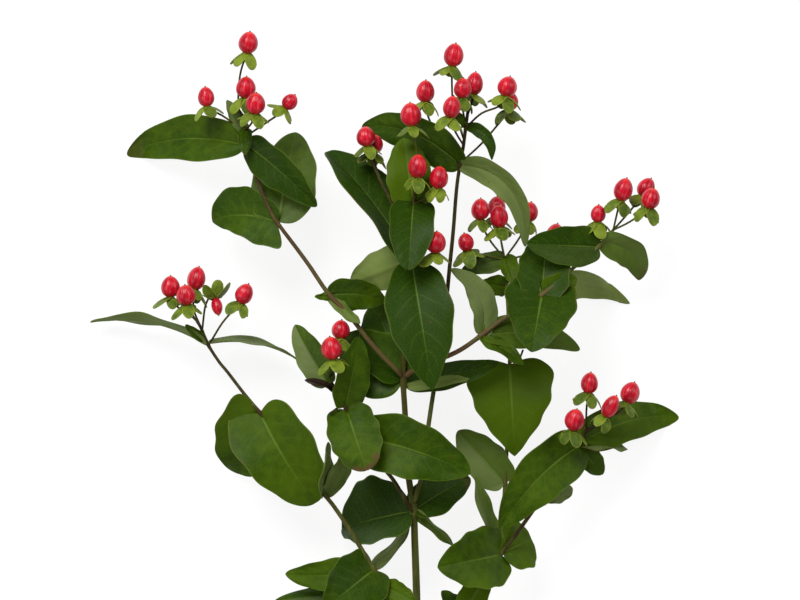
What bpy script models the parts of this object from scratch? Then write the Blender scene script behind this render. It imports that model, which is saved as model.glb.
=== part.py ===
"""A cut stem of hypericum, with its side stems, sessile leaves and red berries, lying on a surface.

The layout is in millimetres: +X to the right of the spray, +Y from the cut end to the tips, and
+Z up from the surface. Every leafy stem is one solid, with its leaves, berry stalks and calyces
grown together. Every berry is a solid of its own, seated just clear of its calyx.
"""
import math
from collections import namedtuple

import bmesh
import bpy
from mathutils import Quaternion, Vector

MM = 0.001

# Gaps between solids that touch
SEAT_GAP = 0.3
FORK_GAP = 0.3

# Faces that meet at less than this are one flat face
FLAT_ANGLE = math.radians(1)

# Leaves: rows along the blade, columns across it, and the height over which it settles flat
LEAF_THICKNESS = 0.8
LEAF_ROWS = (0, 0.07, 0.22, 0.42, 0.65, 0.87, 1)
BROAD_LEAF = 22
BROAD_COLUMNS = (-1, -0.5, 0, 0.5, 1)
NARROW_COLUMNS = (-1, 0, 1)
SETTLE = 2.0

# Calyces: five blunt sepals in one star, bent back from the berry
SEPALS = 5
SEPAL_REACH = 8.2
SEPAL_NOTCH = 2.3
SEPAL_HALF_ANGLE = math.radians(22)
SEPAL_THICKNESS = 0.7
SEPAL_BEND = 0.1

# Berries: rings as shares of the berry's height and of its half width
BERRY_SIDES = 7
BERRY_PROFILE = ((0.1, 0.62), (0.33, 0.98), (0.62, 0.94), (0.88, 0.5))

# Stems and stalks: stout stems have more sides than side stems, and stalks the fewest
STALK_RADIUS = 0.75
STOUT_RADIUS = 2
STOUT_SIDES = 8
SIDE_STEM_SIDES = 6
STALK_SIDES = 4
STEP_LENGTH = 11.0

# Edges sharper than this stay sharp when the faces are shaded smooth
SHARP_ANGLE = math.radians(40)
WELD_DISTANCE = 0.00001

# A leaf runs from its root to its tip. Roll turns it about that line and cup folds its halves up,
# in degrees. Bend arches it upwards and sweep to its left, as shares of its length. Heart is the
# depth of the lobes at its root, widest is where it is broadest, and blunt rounds its two ends.
# Skew makes the left half broadest nearer the tip, and the right half nearer the root.
Leaf = namedtuple("Leaf", "root tip width roll cup bend sweep heart widest blunt skew",
                  defaults=(0, 10, 0.06, 0, 0.22, 0.36, 0.6, 0))
Berry = namedtuple("Berry", "base tip width via")
Stem = namedtuple("Stem", "path radii leaves berries twigs parent")

LEAF_GREEN = (0.055, 0.13, 0.022)
BERRY_RED = (0.62, 0.012, 0.025)


def smooth_route(points):
    """Points along a smooth curve through the given ones, about one step apart."""
    points = [Vector(p) for p in points]
    if len(points) == 2:
        return points
    ends = [2 * points[0] - points[1]] + points + [2 * points[-1] - points[-2]]
    route = []
    for a, b, c, d in zip(ends, ends[1:], ends[2:], ends[3:]):
        count = max(1, round((c - b).length / STEP_LENGTH))
        for k in range(count):
            t = k / count
            route.append(0.5 * (2 * b + (c - a) * t + (2 * a - 5 * b + 4 * c - d) * t ** 2
                                + (3 * b - 3 * c + d - a) * t ** 3))
    return route + [points[-1]]


def new_object(name, mesh, collection=None):
    """An object for a mesh, linked to the scene or to one collection."""
    thing = bpy.data.objects.new(name, mesh)
    (collection or bpy.context.scene.collection).objects.link(thing)
    return thing


def tube(name, points, radii, sides, collection=None):
    """A tapering stem along points, as a filled curve turned into a mesh."""
    route = smooth_route(points)
    curve = bpy.data.curves.new(name, "CURVE")
    curve.dimensions = "3D"
    curve.bevel_depth = MM
    curve.bevel_resolution = (sides - 4) // 2
    curve.use_fill_caps = True
    spline = curve.splines.new("POLY")
    spline.points.add(len(route) - 1)
    for i, (point, place) in enumerate(zip(spline.points, route)):
        share = i / (len(route) - 1)
        point.co = (*(place * MM), 1)
        point.radius = radii[0] + (radii[1] - radii[0]) * share
    holder = new_object(name + "_curve", curve)
    bpy.context.view_layer.update()
    mesh = bpy.data.meshes.new_from_object(holder.evaluated_get(bpy.context.evaluated_depsgraph_get()))
    bpy.data.objects.remove(holder)
    bm = bmesh.new()
    bm.from_mesh(mesh)
    bmesh.ops.remove_doubles(bm, verts=bm.verts, dist=WELD_DISTANCE)
    bmesh.ops.recalc_face_normals(bm, faces=bm.faces)
    bm.to_mesh(mesh)
    bm.free()
    return new_object(name, mesh, collection)


def half_width(leaf, t, s):
    """Half the blade's width at one place, as a share of the widest."""
    power = math.log(0.5) / math.log(leaf.widest + leaf.skew * s)
    return math.sin(math.pi * t ** power) ** leaf.blunt if 0 < t < 1 else 0


def settled(height, lowest):
    """A height that comes down to the lowest one smoothly, and no lower."""
    over = height - lowest
    if abs(over) < SETTLE:
        over = (over + SETTLE) ** 2 / (4 * SETTLE)
    return lowest + max(0, over)


def leaf_point(leaf, t, s):
    """The blade's middle surface and its normal: t from root to tip, s from -1 to 1 across."""
    root, tip = Vector(leaf.root), Vector(leaf.tip)
    length = (tip - root).length
    ahead = (tip - root).normalized()
    left = Quaternion(ahead, math.radians(leaf.roll)) @ Vector((0, 0, 1)).cross(ahead).normalized()
    up = ahead.cross(left)
    reach = half_width(leaf, t, s) * leaf.width / 2
    along = t - 2 * leaf.heart * abs(s) ** 1.5 * (1 - t) ** 4 * reach / length
    arch = 4 * along * (1 - along) * length
    slope = 4 * (1 - 2 * along)
    forward = (ahead + (up * leaf.bend + left * leaf.sweep) * slope).normalized()
    side = (left - forward * left.dot(forward)).normalized()
    face = forward.cross(side)
    fold = math.radians(leaf.cup)
    place = root + ahead * along * length + (up * leaf.bend + left * leaf.sweep) * arch
    place += (side * s * math.cos(fold) + face * abs(s) * math.sin(fold)) * reach
    normal = (face - side * math.tan(fold) * max(-1, min(1, 2 * s))).normalized()
    lowest = LEAF_THICKNESS / 2
    if place.z < lowest - SETTLE:
        normal = Vector((0, 0, math.copysign(1, normal.z)))
    place.z = settled(place.z, lowest)
    return place, normal


def leaf_mesh(leaf):
    """A closed thin blade, split into the same triangles on both faces."""
    bm = bmesh.new()
    columns = BROAD_COLUMNS if leaf.width > BROAD_LEAF else NARROW_COLUMNS
    faces = {1: [], -1: []}
    for t in LEAF_ROWS:
        rows = {1: [], -1: []}
        for s in ((0,) if t in (0, 1) else columns):
            place, normal = leaf_point(leaf, t, s)
            for way in (1, -1):
                rows[way].append(bm.verts.new((place + normal * way * LEAF_THICKNESS / 2) * MM))
        for way in (1, -1):
            faces[way].append(rows[way])
    for way in (1, -1):
        for near, far in zip(faces[way], faces[way][1:]):
            blade_strip(bm, near, far, way)
    for edge in (0, -1):
        rim_strip(bm, faces, edge)
    bmesh.ops.recalc_face_normals(bm, faces=bm.faces)
    mesh = bpy.data.meshes.new("leaf")
    bm.to_mesh(mesh)
    bm.free()
    return mesh


def blade_strip(bm, near, far, way):
    """Triangles between two cross rows of one face of a blade."""
    width = max(len(near), len(far))
    middle = (width - 1) // 2
    for k in range(width - 1):
        a, b = near[min(k, len(near) - 1)], near[min(k + 1, len(near) - 1)]
        c, d = far[min(k, len(far) - 1)], far[min(k + 1, len(far) - 1)]
        corners = ((a, b, d), (a, d, c)) if k < middle else ((a, b, c), (b, d, c))
        for triangle in corners:
            if len(set(triangle)) == 3:
                bm.faces.new(triangle[::way])


def rim_strip(bm, faces, edge):
    """The thin rim that joins both faces of a blade along one edge."""
    upper = [row[edge] for row in faces[1]]
    lower = [row[edge] for row in faces[-1]]
    for a, b, c, d in zip(upper, upper[1:], lower, lower[1:]):
        bm.faces.new((a, b, c))
        bm.faces.new((b, d, c))


def axis_frame(direction):
    """The turn that lays +Z along a direction."""
    return Vector((0, 0, 1)).rotation_difference(Vector(direction).normalized())


def calyx_mesh(base, axis):
    """Five sepals in one star below a berry, each a blunt lobe that bends back."""
    bm = bmesh.new()
    outline = []
    for k in range(SEPALS):
        middle = 2 * math.pi * k / SEPALS
        outline.append((SEPAL_NOTCH, middle - math.pi / SEPALS))
        outline.append((SEPAL_REACH, middle - SEPAL_HALF_ANGLE))
        outline.append((SEPAL_REACH, middle + SEPAL_HALF_ANGLE))
    turn = axis_frame(axis)
    base = Vector(base)
    rows = {}
    for way, lift in ((1, 0), (-1, -SEPAL_THICKNESS)):
        ring = []
        for reach, angle in outline:
            drop = SEPAL_BEND * reach ** 2
            place = Vector((reach * math.cos(angle), reach * math.sin(angle), lift - drop))
            ring.append(bm.verts.new((base + turn @ place) * MM))
        rows[way] = ring
        bm.faces.new(ring[::3][::way])
        for k in range(0, len(ring), 3):
            notch, left, right, beyond = *ring[k:k + 3], ring[(k + 3) % len(ring)]
            bm.faces.new((notch, left, right)[::way])
            bm.faces.new((notch, right, beyond)[::way])
    upper, lower = rows[1], rows[-1]
    for k, a in enumerate(upper):
        b = upper[(k + 1) % len(upper)]
        c, d = lower[k], lower[(k + 1) % len(lower)]
        bm.faces.new((a, c, b))
        bm.faces.new((b, c, d))
    bmesh.ops.recalc_face_normals(bm, faces=bm.faces)
    mesh = bpy.data.meshes.new("calyx")
    bm.to_mesh(mesh)
    bm.free()
    return mesh


def berry_mesh(berry):
    """An egg-shaped berry between its base and its tip."""
    base, tip = Vector(berry.base), Vector(berry.tip)
    turn = axis_frame(tip - base)
    height = (tip - base).length
    bm = bmesh.new()
    rings = []
    for share, girth in BERRY_PROFILE:
        ring = []
        for k in range(BERRY_SIDES):
            angle = 2 * math.pi * k / BERRY_SIDES
            place = Vector((math.cos(angle), math.sin(angle), 0)) * girth * berry.width / 2
            place.z = share * height
            ring.append(bm.verts.new((base + turn @ place) * MM))
        rings.append(ring)
    for low, high in zip(rings, rings[1:]):
        for k in range(BERRY_SIDES):
            n = (k + 1) % BERRY_SIDES
            bm.faces.new((low[k], low[n], high[n], high[k]))
    for end, ring in ((base, rings[0]), (tip, rings[-1])):
        pole = bm.verts.new(end * MM)
        for k in range(BERRY_SIDES):
            bm.faces.new((pole, ring[k], ring[(k + 1) % BERRY_SIDES]))
    bmesh.ops.recalc_face_normals(bm, faces=bm.faces)
    mesh = bpy.data.meshes.new("berry")
    bm.to_mesh(mesh)
    bm.free()
    return mesh


def material(name, colour, roughness):
    """A plain Principled material."""
    made = bpy.data.materials.new(name)
    made.use_nodes = True
    shader = made.node_tree.nodes["Principled BSDF"]
    shader.inputs["Base Color"].default_value = (*colour, 1)
    shader.inputs["Roughness"].default_value = roughness
    shader.inputs["Metallic"].default_value = 0
    return made


def apply_modifiers(thing):
    """The object's evaluated mesh takes the place of its own."""
    bpy.context.view_layer.update()
    graph = bpy.context.evaluated_depsgraph_get()
    mesh = bpy.data.meshes.new_from_object(thing.evaluated_get(graph))
    thing.modifiers.clear()
    thing.data = mesh


def join_flat_faces(mesh):
    """Joins the flat pieces that a Boolean leaves, and splits the result into triangles again."""
    bm = bmesh.new()
    bm.from_mesh(mesh)
    bmesh.ops.dissolve_limit(bm, angle_limit=FLAT_ANGLE, verts=bm.verts, edges=bm.edges)
    bmesh.ops.triangulate(bm, faces=bm.faces)
    bm.to_mesh(mesh)
    bm.free()


def cut_fork(thing, parent):
    """Cuts a side stem's foot clear of the stem that it grows from."""
    radii = [radius + FORK_GAP for radius in parent.radii]
    cutter = tube("cutter", parent.path, radii, STOUT_SIDES)
    cut = thing.modifiers.new("fork", "BOOLEAN")
    cut.operation = "DIFFERENCE"
    cut.object = cutter
    apply_modifiers(thing)
    bpy.data.objects.remove(cutter)


def grow_stem(name, stem, look):
    """One leafy stem: its wood, twigs, leaves, stalks and calyces in one solid."""
    growth = bpy.data.collections.new(name + "_growth")
    bpy.context.scene.collection.children.link(growth)
    sides = STOUT_SIDES if stem.radii[0] > STOUT_RADIUS else SIDE_STEM_SIDES
    wood = tube(name, stem.path, stem.radii, sides)
    if stem.parent:
        cut_fork(wood, stem.parent)
    stalk_radii = (STALK_RADIUS, STALK_RADIUS)
    for twig in stem.twigs:
        tube("twig", twig, stalk_radii, STALK_SIDES, growth)
    for leaf in stem.leaves:
        new_object("leaf", leaf_mesh(leaf), growth)
    for berry in stem.berries:
        axis = (Vector(berry.tip) - Vector(berry.base)).normalized()
        seat = Vector(berry.base) - axis * SEAT_GAP
        foot = seat - axis * SEPAL_THICKNESS / 2
        tube("stalk", [*berry.via, foot], stalk_radii, STALK_SIDES, growth)
        new_object("calyx", calyx_mesh(seat, axis), growth)
    if growth.objects:
        union = wood.modifiers.new("growth", "BOOLEAN")
        union.operation = "UNION"
        union.operand_type = "COLLECTION"
        union.collection = growth
        apply_modifiers(wood)
    for thing in list(growth.objects):
        bpy.data.objects.remove(thing)
    bpy.data.collections.remove(growth)
    join_flat_faces(wood.data)
    wood.data.materials.clear()
    wood.data.materials.append(look)
    wood.data.shade_smooth()
    wood.data.set_sharp_from_angle(angle=SHARP_ANGLE)


# The layout, stem by stem

MAIN = Stem(
    path=[(19.5, -210, 2.7), (19, -160, 17), (19, -132, 24), (18, -100, 31), (17, -77, 36),
          (14, -56, 40), (12, -20, 45), (11, 2, 47), (12.5, 30, 49), (15, 70, 52), (17.5, 106, 54),
          (18, 118, 54)],
    radii=(2.7, 1.1),
    leaves=[
        Leaf((16, -79, 34), (-26, -90, 2), 53, roll=37, cup=24, bend=0.02, widest=0.42, skew=-0.14),
        Leaf((18, -78, 35), (51, -59, 18), 26, roll=-20, cup=15),
        Leaf((18, -79, 35), (41, -100, 28), 9, roll=50, sweep=0.1),
        Leaf((10.5, 0, 45.6), (-6, 46, 22), 40, roll=12, bend=0.03, heart=0.15),
        Leaf((10.5, -1, 45.6), (-27, 25, 28), 40, roll=0, cup=8, bend=0.03, heart=0.1),
        Leaf((11.5, -2, 45.2), (68, 10, 39), 17, roll=8, bend=0.06, heart=0),
        Leaf((12, -3, 45.2), (58, 3, 41), 13, roll=150, bend=-0.08, heart=0),
        Leaf((16, 71, 52), (28.5, -6, 70), 41, bend=0.1, widest=0.42, blunt=0.85),
        Leaf((17, 107, 54), (14, 66, 76), 28, blunt=0.5),
        Leaf((17, 106, 54), (11, 145, 44), 28),
        Leaf((15, 72, 52), (-35, 137, 30), 36, roll=44, cup=20, widest=0.45, blunt=0.45),
        Leaf((14, 72, 52), (-21, 58, 38), 26, roll=170, bend=-0.05),
    ],
    berries=[
        Berry((16, 152, 62), (15, 166, 64), 12.5, [(18, 117, 54), (19, 137, 59)]),
        Berry((19, 121, 66), (20, 135, 68), 12, [(17.5, 106, 54), (18, 113, 63)]),
        Berry((31.5, 114.5, 62), (33, 128, 64), 11.5, [(17.5, 106, 54), (26, 109, 60)]),
        Berry((30, 76, 62), (31, 89, 65), 12, [(15, 70, 52), (24, 72, 60)]),
    ],
    twigs=[], parent=None)

STEM_D = Stem(
    path=[(17, -74, 37), (19.5, -67, 40.5), (22, -57, 41), (26, -28, 39), (29, -8, 37), (35, 30, 38),
          (39, 70, 41.5), (41, 90, 43), (43, 115, 43), (45, 129, 43), (47, 140, 43.5), (48.5, 152, 45),
          (50, 163, 46)],
    radii=(1.5, 1.0),
    leaves=[
        Leaf((45, 129, 43), (-14, 152, 16), 25, roll=-15, sweep=-0.13),
        Leaf((45, 129, 43), (84, 80, 52), 17, roll=32, sweep=0.3, heart=0.1),
        Leaf((49, 152, 45), (64, 132, 50), 8, roll=10, sweep=0.24),
        Leaf((48, 152, 45), (40, 163, 54), 5, roll=20),
    ],
    berries=[
        Berry((40, 188, 44), (42.5, 202, 45), 12, [(47, 145, 44), (41, 165, 44)]),
        Berry((24, 166.5, 40), (24.5, 180, 41), 11, [(45, 129, 43), (33, 143, 38), (26, 158, 38)]),
        Berry((46, 169, 50), (47, 181, 52), 11, [(49, 152, 45), (47, 160, 48)]),
        Berry((53, 171, 38), (54.5, 185, 37), 11, [(50, 160, 45), (52, 166, 40)]),
        Berry((39, 157, 64), (41, 170, 67), 11, [(47, 141, 43), (42, 149, 57)]),
        Berry((72, 170, 49), (75, 182, 50), 12, [(49, 152, 45), (58, 160, 48), (68, 164, 49)]),
        Berry((75, 162, 34), (76, 173, 33), 10, [(45, 130, 43), (58, 142, 38), (70, 156, 34)]),
    ],
    twigs=[], parent=MAIN)

STEM_E = Stem(
    path=[(16, 84, 52.5), (12, 91, 55), (7, 98, 56), (3, 108, 55), (-3, 120, 52), (-9, 134, 50)],
    radii=(0.9, 0.8),
    leaves=[],
    berries=[
        Berry((-11, 140, 50), (-12, 152, 51), 12, [(-9, 133, 50), (-10.5, 137, 50)]),
        Berry((-7, 136, 42), (-5, 147, 40), 10, [(-3, 120, 52), (-6, 130, 45)]),
    ],
    twigs=[], parent=MAIN)

STEM_A = Stem(
    path=[(10, 2.5, 47.5), (6.5, 6.5, 51.5), (0, 13, 53), (-10, 24, 53), (-20, 37, 52), (-34, 52, 51),
          (-45, 68, 49), (-53, 79, 47), (-65, 95, 45), (-70, 104, 43), (-76, 118, 41), (-84, 141, 38),
          (-84, 152, 38)],
    radii=(1.5, 1.0),
    leaves=[
        Leaf((-84, 141, 38), (-156, 136, -12), 29, roll=12, cup=14, sweep=-0.065, heart=0.05),
        Leaf((-83, 141, 38), (-41, 104, 54), 25, roll=30, bend=0.09, sweep=0.08, heart=0.1),
        Leaf((-64, 95, 43.5), (-54, 149, 18), 41, roll=-16, cup=5, bend=0.03, heart=0.12),
        Leaf((-65, 95, 44), (-104, 96, 22), 35, roll=10, cup=14, sweep=-0.07, heart=0.4, skew=-0.2),
        Leaf((-84, 151, 38), (-84, 135, 48), 9),
        Leaf((-84, 149, 38), (-95, 168, 35), 9),
        Leaf((-33, 51, 50), (0, 47, 40), 20, roll=10, sweep=0.08),
        Leaf((-33, 52, 50), (-15, 34, 58), 9, roll=150),
        Leaf((-31, 50, 50), (-42, 50, 53), 5),
    ],
    berries=[
        Berry((-83, 196, 44), (-81, 209, 46), 12.5, [(-84, 150, 38), (-88, 165, 38), (-87, 183, 42)]),
        Berry((-84, 169, 44), (-83, 182, 46), 12, [(-84, 151, 38), (-84, 160, 41)]),
        Berry((-78, 159.5, 58), (-77, 172, 62), 12, [(-84, 150, 38), (-80, 154, 51)]),
        Berry((-107, 164, 40), (-108, 176, 41), 10, [(-84, 148, 38), (-95, 157, 38), (-104, 162, 39)]),
        Berry((-60, 163, 46), (-54, 171, 48), 9.5, [(-84, 146, 38), (-72, 154, 41), (-63, 160, 44)]),
    ],
    twigs=[], parent=MAIN)

STEM_R = Stem(
    path=[(12.5, 2.5, 48.5), (16.5, 5.5, 53), (25, 8.5, 55), (32, 12, 55), (45, 18, 54), (58, 27, 53),
          (70, 36, 53),
          (80, 42, 53), (94, 51, 52), (105, 60, 50), (115, 69, 47), (128, 80, 44), (137, 90, 42)],
    radii=(1.6, 1.0),
    leaves=[
        Leaf((58, 27, 53), (39.5, 66.5, 50), 17, roll=20, sweep=-0.2, heart=0.1),
        Leaf((59, 27, 53), (117, 18, 36), 22, roll=-25, cup=15, sweep=0.06),
        Leaf((58, 26, 53), (83, 9, 60), 12, roll=-40),
        Leaf((94, 51, 52), (97, 86, 36), 32, blunt=0.5),
        Leaf((94, 51, 52), (87.5, 17, 76), 44, widest=0.24, heart=0.35),
        Leaf((96, 53, 51), (115, 61, 44), 17, roll=10),
        Leaf((94, 51, 52), (148, 46, -12), 18, roll=160, bend=-0.04, sweep=-0.1),
        Leaf((128, 80, 44), (85, 82, 58), 25, roll=-6, cup=5),
        Leaf((130, 83, 44), (153, 60, 22), 19, roll=10, sweep=0.2),
    ],
    berries=[
        Berry((127.7, 94.5, 44), (128.2, 105, 46), 9, [(134, 86, 43), (130.5, 90, 43)]),
        Berry((141, 107.5, 48), (145, 121, 50), 12, [(137, 90, 42), (139, 99, 45)]),
        Berry((154, 110, 34), (160, 121, 33), 11, [(137, 90, 42), (146, 100, 37)]),
        Berry((158, 103, 48), (161, 115, 51), 12, [(137, 90, 42), (147, 95, 44)]),
    ],
    twigs=[], parent=MAIN)

STEM_R2 = Stem(
    path=[(19, -160, 17), (34, -145, 22), (49, -132, 27), (57, -123, 29), (70, -104, 32),
          (78, -94, 32), (88, -80, 32), (96, -69, 32), (108, -55, 31), (118, -38, 30),
          (121, -28, 31)],
    radii=(1.6, 1.0),
    leaves=[
        Leaf((70, -105, 32), (31.5, -112, 62), 38, bend=0.08, heart=0.3),
        Leaf((71, -104, 32), (88, -96, 16), 32, widest=0.5),
        Leaf((69, -103, 32), (54, -58, 31), 14, roll=50, sweep=0.09),
        Leaf((118, -39, 30), (69, -89, 50), 32, roll=-8, sweep=-0.07),
        Leaf((118, -38, 30), (177.5, -23, -10), 26, roll=-15, sweep=0.06),
        Leaf((118, -40, 30), (146, -42, 20), 13, roll=-60),
        Leaf((118, -41, 30), (131, -57, 22), 15),
        Leaf((96, -69, 32), (113, -66, 22), 14),
        Leaf((58, -121, 29), (42, -150, 40), 18),
        Leaf((44, -137, 25), (34, -127, 34), 11),
    ],
    berries=[
        Berry((122, -8, 44), (123.5, 4.5, 46), 11, [(121, -28, 31), (121, -18, 38)]),
        Berry((112.5, -30, 50), (115, -17.5, 54), 12, [(118, -38, 30), (113, -36, 42)]),
        Berry((131.8, -22, 44), (138.8, -9.5, 47), 10, [(120, -32, 31), (126, -28, 38)]),
        Berry((145, -14, 34), (150, -1.5, 33), 11.5, [(121, -30, 31), (132, -24, 31), (141, -19, 34)]),
    ],
    twigs=[], parent=MAIN)

STEM_G = Stem(
    path=[(70, -104, 31), (70.5, -97, 24), (71.5, -75, 22), (73, -50, 22), (75, 8, 24), (74, 40, 25),
          (73, 56, 26), (72, 73, 28)],
    radii=(1.3, 0.9),
    leaves=[
        Leaf((75, 9, 25), (78, -46, 26), 52, bend=0.08, widest=0.25, heart=0.16, blunt=0.85),
        Leaf((72, -62, 22), (44, -31, 10), 26),
        Leaf((72, 73, 28), (46, 66, 34), 13),
        Leaf((73, 56, 26), (57, 58, 34), 13),
        Leaf((73, 74, 28), (78, 57, 36), 12),
    ],
    berries=[
        Berry((57, 96, 34), (57.5, 109, 35), 12, [(72, 73, 28), (63, 84, 33)]),
        Berry((67, 98, 20), (67.5, 110.5, 19), 11, [(72, 73, 28), (69, 88, 21)]),
        Berry((69, 91.5, 34), (68, 105, 36), 11, [(72, 73, 28), (70, 82, 32)]),
        Berry((49.5, 77.5, 37), (47.5, 88, 40), 10, [(72, 72, 28), (60, 75, 34)]),
        Berry((86, 95, 26), (88, 107, 25), 11, [(72, 73, 28), (80, 84, 26)]),
        Berry((101, 82, 20), (104, 94, 19), 11, [(72, 72, 28), (88, 76, 22)]),
        Berry((79, 30, 32), (80, 42, 33), 11, [(75, 8, 24), (78, 18, 29)]),
    ],
    twigs=[[(75, 8, 24), (80, 11, 28), (83, 18, 31)]], parent=STEM_R2)

STEM_BL = Stem(
    path=[(19, -160, 17), (6, -135, 27), (2, -128, 30), (-8, -112, 34), (-20, -92, 36),
          (-30, -77, 37), (-37, -68, 38), (-57, -42, 36), (-75, -20, 34), (-85, -8, 32),
          (-95, 5, 30), (-100, 11, 29), (-107, 22, 28), (-110, 30, 28)],
    radii=(1.6, 0.9),
    leaves=[
        Leaf((-107, 21, 28), (-178, 34.5, 8), 24, roll=102, bend=0.09, heart=0),
        Leaf((-106, 22, 28), (-50, 10, 12), 18, roll=-80, bend=0.1, heart=0),
        Leaf((-109, 24, 28), (-120, 33, 34), 6),
        Leaf((-75, -20, 34), (-42, -74, 36), 49, roll=16, cup=14, bend=0.1, widest=0.34, blunt=0.46,
             skew=0.1),
        Leaf((-76, -19, 32), (-88, -57, 6), 44, heart=0.42, blunt=0.5),
        Leaf((-37, -68, 38), (-34, -37, 56), 14, roll=60, sweep=0.1),
        Leaf((-37, -68, 38), (-26, -42, 54), 16, roll=40, sweep=-0.1),
        Leaf((-8, -112.5, 34), (-60, -117, 18), 20, sweep=0.05),
        Leaf((-7, -114, 34), (-36, -137, 50), 36, heart=0.3),
        Leaf((4, -132, 28), (-67, -134, 6), 18, roll=40),
        Leaf((0, -124, 31), (19, -134, 40), 14),
        Leaf((-8, -112, 34), (15, -86, 22), 12, roll=55),
    ],
    berries=[
        Berry((-129, 49.5, 32), (-129, 62.5, 33), 11.5, [(-107, 22, 28), (-114, 36, 30), (-125, 44, 32)]),
        Berry((-119, 45, 44), (-120, 57, 47), 11.5, [(-109, 28, 28), (-115, 38, 38)]),
        Berry((-115, 54, 28), (-112, 68, 27), 11.5, [(-110, 30, 28), (-115, 42, 28)]),
        Berry((-87, 46, 34), (-82, 57.5, 36), 11, [(-106, 21, 28), (-98, 34, 31), (-91, 42, 33)]),
        Berry((-102, 49, 30), (-100, 39, 34), 7, [(-110, 30, 28), (-108, 45, 27), (-104, 51, 28)]),
    ],
    twigs=[], parent=MAIN)

STEM_C = Stem(
    path=[(16.5, -79, 37), (11.5, -71, 42), (5, -60, 43), (-7, -45, 45), (-23, -18, 50), (-28, -9, 51),
          (-34, 2, 52)],
    radii=(1.3, 0.9),
    leaves=[
        Leaf((-23, -18, 50), (-11, -54, 64), 32, heart=0.3, widest=0.45, blunt=0.42),
        Leaf((-13, -35, 47), (51, -56, 58), 37, bend=0.08, sweep=0.04, heart=0.3),
        Leaf((-24, -16, 50), (-16, 26, 56), 22, roll=20),
        Leaf((-34, -2, 52), (-54, 33, 42), 20, roll=-15),
        Leaf((-30, -6, 51.3), (-48, 0, 53), 6, roll=35, cup=30),
    ],
    berries=[
        Berry((-31, 12.5, 66), (-33, 26, 69), 13, [(-33, 1, 52), (-32, 7, 61)]),
        Berry((-27, 24.5, 50), (-26, 36, 50), 11, [(-33, 1, 52), (-31, 14, 51)]),
    ],
    twigs=[[(-25, -14, 50), (-33, -20, 54)]], parent=MAIN)

STEMS = {
    "main_stem": MAIN,
    "top_stem": STEM_D,
    "centre_twig": STEM_E,
    "upper_left_stem": STEM_A,
    "upper_right_stem": STEM_R,
    "lower_right_stem": STEM_R2,
    "right_back_stem": STEM_G,
    "lower_left_stem": STEM_BL,
    "left_twig": STEM_C,
}


def build():
    """All the stems and their berries."""
    for thing in list(bpy.data.objects):
        bpy.data.objects.remove(thing, do_unlink=True)
    green = material("leaf_green", LEAF_GREEN, 0.45)
    red = material("berry_red", BERRY_RED, 0.25)
    for name, stem in STEMS.items():
        grow_stem(name, stem, green)
        for number, berry in enumerate(stem.berries, 1):
            fruit = new_object(f"{name}_berry_{number}", berry_mesh(berry))
            fruit.data.materials.append(red)
            fruit.data.shade_smooth()


build()
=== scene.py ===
"""Looks for the cut stem of hypericum: stems, sessile leaves, sepals and glossy red berries.

The layout tables repeat the CAD source, in millimetres: +X to the right of the spray, +Y from the
cut end to the tips, +Z up from the surface that the stem lies on. Blender works in metres.
"""

import math
import random
from collections import namedtuple

import bpy
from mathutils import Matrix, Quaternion, Vector
from mathutils.kdtree import KDTree


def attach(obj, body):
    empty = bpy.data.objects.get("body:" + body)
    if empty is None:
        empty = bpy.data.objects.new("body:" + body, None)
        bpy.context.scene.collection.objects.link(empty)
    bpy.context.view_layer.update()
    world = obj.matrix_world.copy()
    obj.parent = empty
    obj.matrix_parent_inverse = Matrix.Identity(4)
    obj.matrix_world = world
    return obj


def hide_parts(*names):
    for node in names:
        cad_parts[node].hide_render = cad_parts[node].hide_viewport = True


MM = 0.001

# Leaves: thickness in the solids and here, rows along and columns across the blade, and the height
# over which it settles flat on the floor
LEAF_THICKNESS = 0.8
BLADE_THICKNESS = 0.45
LEAF_ROWS = 44
LEAF_COLUMNS = 20
SETTLE = 2.0

# Relief of a leaf in millimetres: the midrib's groove, the side veins and the wavy margin. The
# waves differ by chance, and the puckers change this fast along and across the blade.
MIDRIB_DEPTH = 0.5
MIDRIB_HALF_WIDTH = 0.8
VEIN_DEPTH = 0.12
VEIN_PAIRS = 7
VEIN_RISE = 0.24
MARGIN_WAVE = 0.9
MARGIN_WOBBLE = 0.035
WAVE_SPEED = (8, 14)
WAVE_SHIFT = (1, 5)
PUCKER = 0.55
PUCKER_LONG = (7, 3.1)
PUCKER_SHORT = (-5, 4.3)

# Sepals: five to a berry, blunt ovals that bend back along the stalk. The rise and the fall are the
# slopes at the two ends, in radians.
SEPALS = 5
SEPAL_LENGTH = 12.5
SEPAL_WIDTH = 8.2
SEPAL_FOOT = 0.6
SEPAL_LIFT = 0.7
SEPAL_RISE = 0.35
SEPAL_FALL = 1.1
SEPAL_THICKNESS = 0.4
SEPAL_ROWS = 8
SEPAL_COLUMNS = 6
SEPAL_FOOT_SHARE = 0.14
SEPAL_BROADEST = 1.3
SEPAL_VEINS = 7

# What chance does to a calyx's openness, and to each sepal's turn, size, fall, cup and twist
CALYX_OPENNESS = (-0.25, 0.3)
SEPAL_TURN = (-0.15, 0.15)
SEPAL_SIZE = (0.78, 1.08)
SEPAL_DROOP = (-0.3, 0.4)
SEPAL_CUP = (-0.05, 0.09)
SEPAL_TWIST = (-0.2, 0.2)

# Berries: mesh density, and an egg shape as shares of the width: how broad it is at the base, how
# much it narrows, the shoulder where it narrows more, how oval it is and how deep its furrows are
BERRY_SEGMENTS = 36
BERRY_RINGS = 22
BERRY_GIRTH = 1.08
BERRY_TAPER = 0.2
BERRY_SHOULDER = 0.65
SHOULDER_TAPER = 0.15
BERRY_OVAL = 0.035
FURROWS = 3
FURROW_DEPTH = 0.06
SKIN_LINES = 13

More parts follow.
